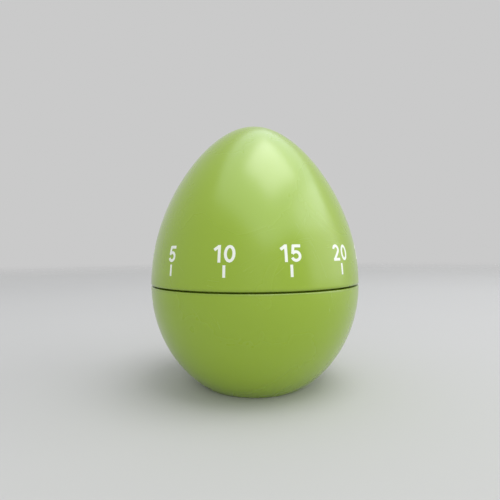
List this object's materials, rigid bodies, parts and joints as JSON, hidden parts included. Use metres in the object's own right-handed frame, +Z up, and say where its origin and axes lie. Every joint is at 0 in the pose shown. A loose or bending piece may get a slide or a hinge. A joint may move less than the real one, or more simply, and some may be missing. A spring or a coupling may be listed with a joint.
{
  "type": "kitchen timer",
  "caption": "egg-shaped wind-up kitchen timer: the upper half is a numbered dial that turns on the base, runs a clockwork movement back to zero and rings a bell",
  "frame": {"origin": "centre of the foot, on the surface that the timer stands on", "axes": "+Z up along the dial's axis; -Y towards the pointer, where the dial's zero stands at rest"},
  "size_m": [0.06, 0.06, 0.075],
  "materials": {
    "green_plastic": "glossy moulded plastic, lime green",
    "steel": "stamped steel sheet",
    "bell_steel": "pressed steel, nickel plated",
    "screw_steel": "zinc plated steel",
    "arbor_steel": "turned steel",
    "spring_steel": "blued spring steel",
    "brass": "stamped brass",
    "nylon": "natural white nylon"
  },
  "bodies": {
    "base": {"base_shell": "green_plastic", "bell": "bell_steel", "bell_washer": "steel", "bell_screw": "screw_steel", "lower_plate": "steel", "upper_plate": "steel", "pillars": "steel", "movement_screws": "screw_steel", "lower_bushing": "brass", "upper_bushing": "brass", "mainspring": "spring_steel", "spring_post": "steel", "stop_pin": "steel", "lever_stud": "steel", "lever_spring": "spring_steel"},
    "dial": {"upper_shell": "green_plastic", "main_arbor": "arbor_steel", "ratchet_wheel": "steel", "arbor_washer": "steel", "stop_ring": "steel", "strike_cam": "steel"},
    "main_wheel": {"main_wheel": "brass", "click_rivet": "screw_steel", "click_spring": "spring_steel"},
    "click": {"click": "steel"},
    "second": {"second_wheel": "brass", "second_pinion": "arbor_steel"},
    "third": {"third_wheel": "nylon", "third_pinion": "arbor_steel"},
    "escape": {"escape_wheel": "nylon", "escape_pinion": "arbor_steel"},
    "anchor": {"anchor": "steel", "anchor_pins": "arbor_steel", "anchor_arbor": "arbor_steel", "balance_disc": "brass"},
    "strike": {"strike_wheel": "brass", "strike_pinion": "arbor_steel"},
    "hammer": {"hammer_arbor": "arbor_steel", "hammer_pallet": "steel", "hammer_stop_arm": "steel", "hammer_arm": "steel", "hammer_head": "brass"},
    "lever": {"release_lever": "steel", "release_finger": "arbor_steel"}
  },
  "joints": [
    {"name": "dial_turn", "type": "hinge", "parent": "base", "child": "dial", "pos_m": [0, 0, 0.029], "axis": [0, 0, -1], "range_deg": [0, 345]},
    {"name": "main_wheel_turn", "type": "hinge", "parent": "base", "child": "main_wheel", "pos_m": [0, 0, 0.0248], "axis": [0, 0, -1], "range_deg": [0, 345.5]},
    {"name": "second_turn", "type": "hinge", "parent": "base", "child": "second", "pos_m": [0.014, 0, 0.02], "axis": [0, 0, -1], "range_deg": [-2075, 0]},
    {"name": "third_turn", "type": "hinge", "parent": "base", "child": "third", "pos_m": [0.01139, 0.00945, 0.02], "axis": [0, 0, -1], "range_deg": [0, 12450]},
    {"name": "escape_turn", "type": "hinge", "parent": "base", "child": "escape", "pos_m": [0.00347, 0.01521, 0.02], "axis": [0, 0, -1], "range_deg": [-74670, 0]},
    {"name": "strike_turn", "type": "hinge", "parent": "base", "child": "strike", "pos_m": [0.00362, -0.01352, 0.02], "axis": [0, 0, -1], "range_deg": [-2075, 0]},
    {"name": "anchor_rock", "type": "hinge", "parent": "base", "child": "anchor", "pos_m": [-0.00339, 0.01523, 0.02], "axis": [0, 0, 1], "range_deg": [-6, 6]},
    {"name": "release_lever_drop", "type": "hinge", "parent": "base", "child": "lever", "pos_m": [-0.01181, -0.01322, 0.0295], "axis": [0, 0, -1], "range_deg": [-6.5, 0]},
    {"name": "hammer_strike", "type": "hinge", "parent": "base", "child": "hammer", "pos_m": [-0.00409, -0.01339, 0.02], "axis": [0, 0, 1], "range_deg": [-9.2, 0]},
    {"name": "click_lift", "type": "hinge", "parent": "main_wheel", "child": "click", "pos_m": [-0.00131, -0.00653, 0.0236], "axis": [0, 0, 1], "range_deg": [0, 9]}
  ],
  "couplings": [
    {"joint": "main_wheel_turn", "follows": "dial_turn", "ratio": 1},
    {"joint": "second_turn", "follows": "dial_turn", "ratio": -6},
    {"joint": "strike_turn", "follows": "dial_turn", "ratio": -6},
    {"joint": "third_turn", "follows": "dial_turn", "ratio": 36},
    {"joint": "escape_turn", "follows": "dial_turn", "ratio": -216},
    {"joint": "hammer_strike", "follows": "release_lever_drop", "ratio": 1.4}
  ]
}
